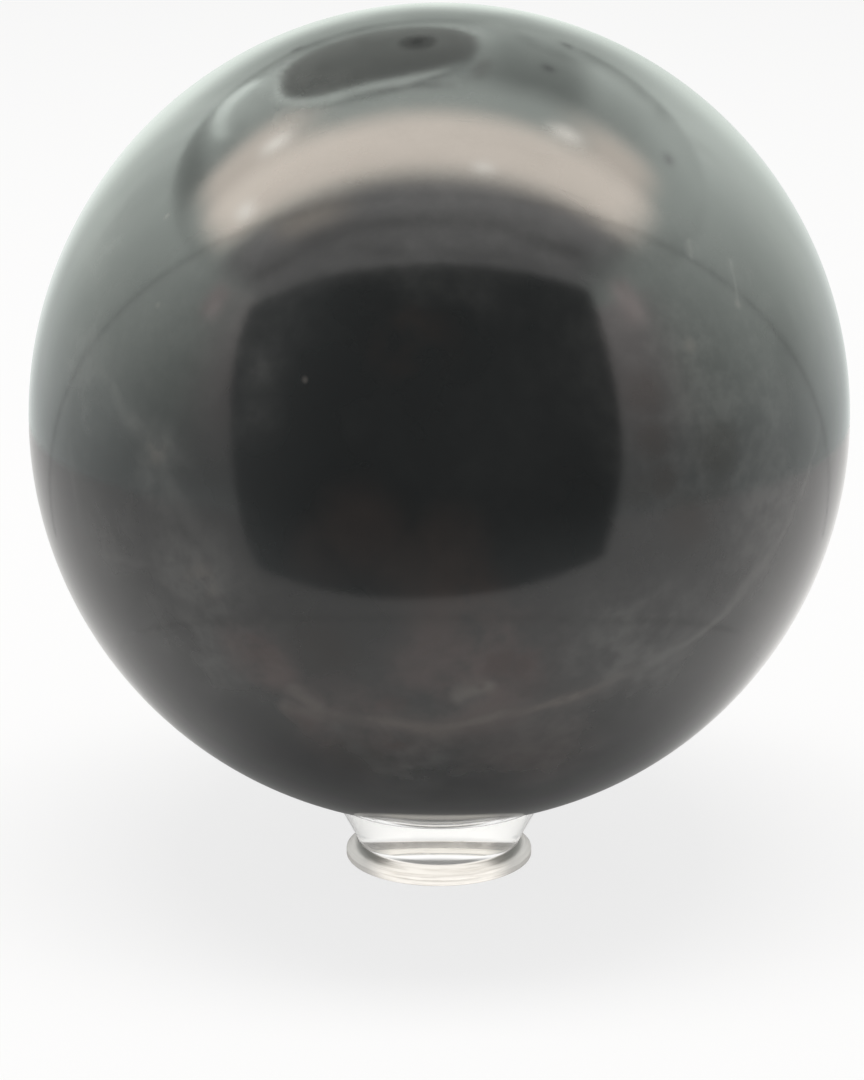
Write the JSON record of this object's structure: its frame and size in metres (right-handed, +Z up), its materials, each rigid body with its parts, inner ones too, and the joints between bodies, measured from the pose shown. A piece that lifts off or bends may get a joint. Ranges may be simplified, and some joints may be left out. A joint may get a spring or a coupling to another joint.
{
  "type": "stone ball with ring stand",
  "caption": "Polished dark stone ball that rests loose in the conical seat of a small clear acrylic ring stand, and lifts straight off it.",
  "frame": {"origin": "centre of the ring stand's underside, on the table", "axes": "+Z up through the ball's centre, which is the ring's turning axis; -Y faces the viewer and +X is to the viewer's right"},
  "size_m": [0.108, 0.108, 0.1158],
  "materials": {
    "polished_stone": "polished",
    "clear_acrylic": "polished"
  },
  "bodies": {
    "stand": {"ring_stand": "clear_acrylic"},
    "ball": {"stone_ball": "polished_stone"}
  },
  "joints": [
    {"name": "ball_lift", "type": "slide", "parent": "stand", "child": "ball", "axis": [0, 0, 1], "range_m": [0, 0.04]}
  ]
}
